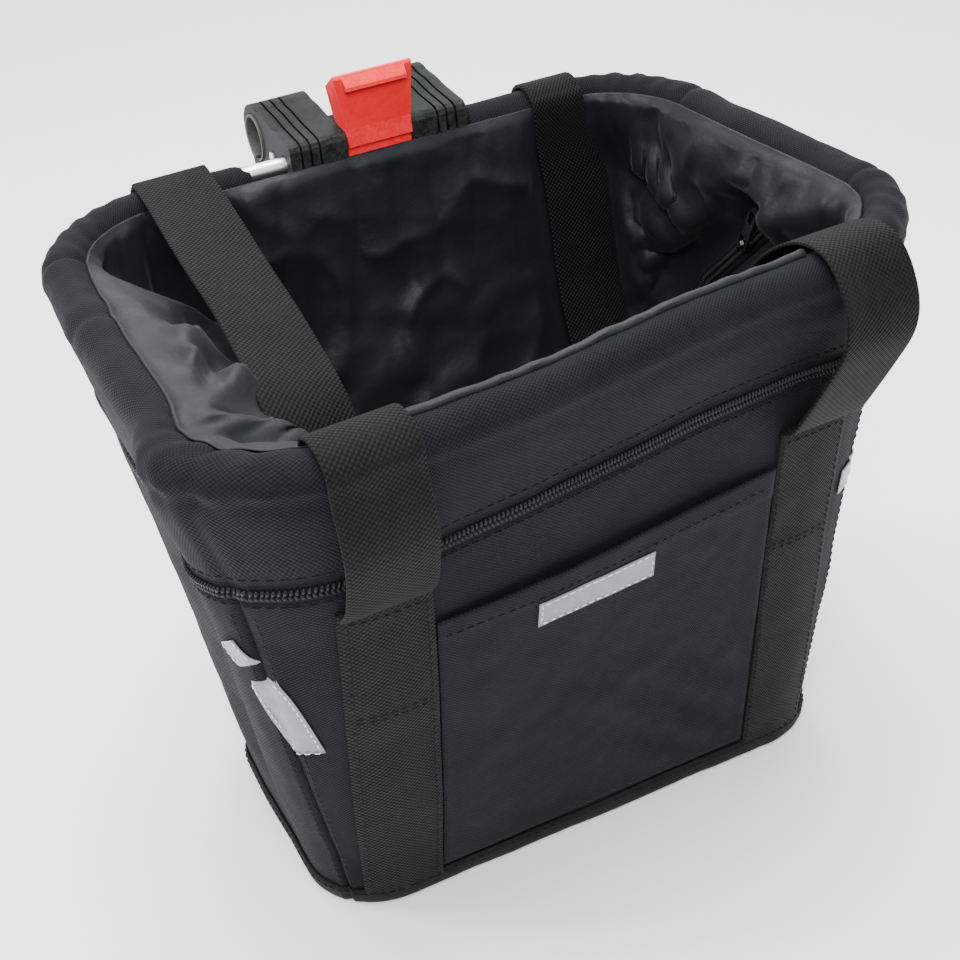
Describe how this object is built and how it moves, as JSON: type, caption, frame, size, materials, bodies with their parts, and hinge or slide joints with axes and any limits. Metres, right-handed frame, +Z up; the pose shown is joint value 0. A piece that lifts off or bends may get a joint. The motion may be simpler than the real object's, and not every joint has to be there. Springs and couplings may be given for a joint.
{
  "type": "handlebar basket",
  "caption": "Fabric bicycle handlebar basket on an oval aluminium rim, with webbing handles, a patch pocket, zippers and a quick-release handlebar bracket.",
  "frame": {"origin": "middle of the base's underside, on the surface the basket stands on", "axes": "+Z up through the open top, -Y the front (pocket) side, +Y the bracket side, X along the handlebar with the pocket side's right at +X"},
  "size_m": [0.368, 0.3402, 0.3455],
  "materials": {
    "fabric": "matte woven polyester, stitched seams",
    "webbing": "matte woven webbing",
    "lining": "satin woven nylon, wrinkled",
    "board": "plain sheet",
    "zip": "black coil on woven tape",
    "gunmetal": "gunmetal plated, polished",
    "reflective": "silver reflective tape",
    "aluminium": "satin drawn tube",
    "steel": "zinc plated",
    "bracket": "semi-gloss moulded nylon",
    "shim": "matte moulded nylon",
    "red": "satin moulded nylon"
  },
  "bodies": {
    "basket": {"rim_tube": "aluminium", "rim_tube_joiner": "steel", "rim_sleeve": "fabric", "rim_lining_edge": "lining", "front_panel": "fabric", "right_panel": "fabric", "left_panel": "fabric", "back_panel": "fabric", "upper_band": "fabric", "zip_end_tab_left": "fabric", "zip_end_tab_right": "fabric", "front_board": "board", "back_board": "board", "base_panel": "fabric", "base_board": "board", "base_binding": "webbing", "lining": "lining", "handle_left": "webbing", "handle_right": "webbing", "front_strap_left": "webbing", "front_strap_right": "webbing", "back_strap_left": "webbing", "back_strap_right": "webbing", "front_pocket": "fabric", "reflector_front": "reflective", "reflector_left": "reflective", "reflector_right": "reflective", "front_zipper": "zip", "inner_zipper": "zip"},
    "bracket": {"bracket_body": "bracket", "tie_pin": "steel", "clamp_screw_left": "steel", "clamp_screw_right": "steel", "clamp_nut_left": "steel", "clamp_nut_right": "steel", "clamp_shim_left": "shim", "clamp_shim_right": "shim", "latch_pin": "steel", "latch_spring": "steel"},
    "latch": {"latch_lever": "red"},
    "front_slider": {"front_zip_slider": "gunmetal"},
    "front_pull": {"front_zip_pull": "gunmetal"},
    "inner_slider": {"inner_zip_slider": "gunmetal"},
    "inner_pull": {"inner_zip_pull": "gunmetal"}
  },
  "joints": [
    {"name": "bracket_lift", "type": "slide", "parent": "basket", "child": "bracket", "axis": [0, 0, 1], "range_m": [0, 0.015]},
    {"name": "latch_tilt", "type": "hinge", "parent": "bracket", "child": "latch", "pos_m": [0, 0.1275, 0.313], "axis": [-1, 0, 0], "range_deg": [0, 27]},
    {"name": "front_zip_slide", "type": "slide", "parent": "basket", "child": "front_slider", "axis": [0, -1, 0], "range_m": [0, 0.095]},
    {"name": "front_pull_flip", "type": "hinge", "parent": "front_slider", "child": "front_pull", "pos_m": [0.17751, 0.05, 0.23734], "axis": [0.1265, 0, 0.992], "range_deg": [0, 165]},
    {"name": "inner_zip_slide", "type": "slide", "parent": "basket", "child": "inner_slider", "axis": [0.0903, -0.7001, 0.7083], "range_m": [-0.04, 0.025]},
    {"name": "inner_pull_flip", "type": "hinge", "parent": "inner_slider", "child": "inner_pull", "pos_m": [0.15889, 0.03, 0.23838], "axis": [-0.0421, -0.943, -0.33], "range_deg": [0, 150]}
  ],
  "couplings": [
    {"joint": "latch_tilt", "follows": "bracket_lift", "rad_per_m": 31.4}
  ]
}
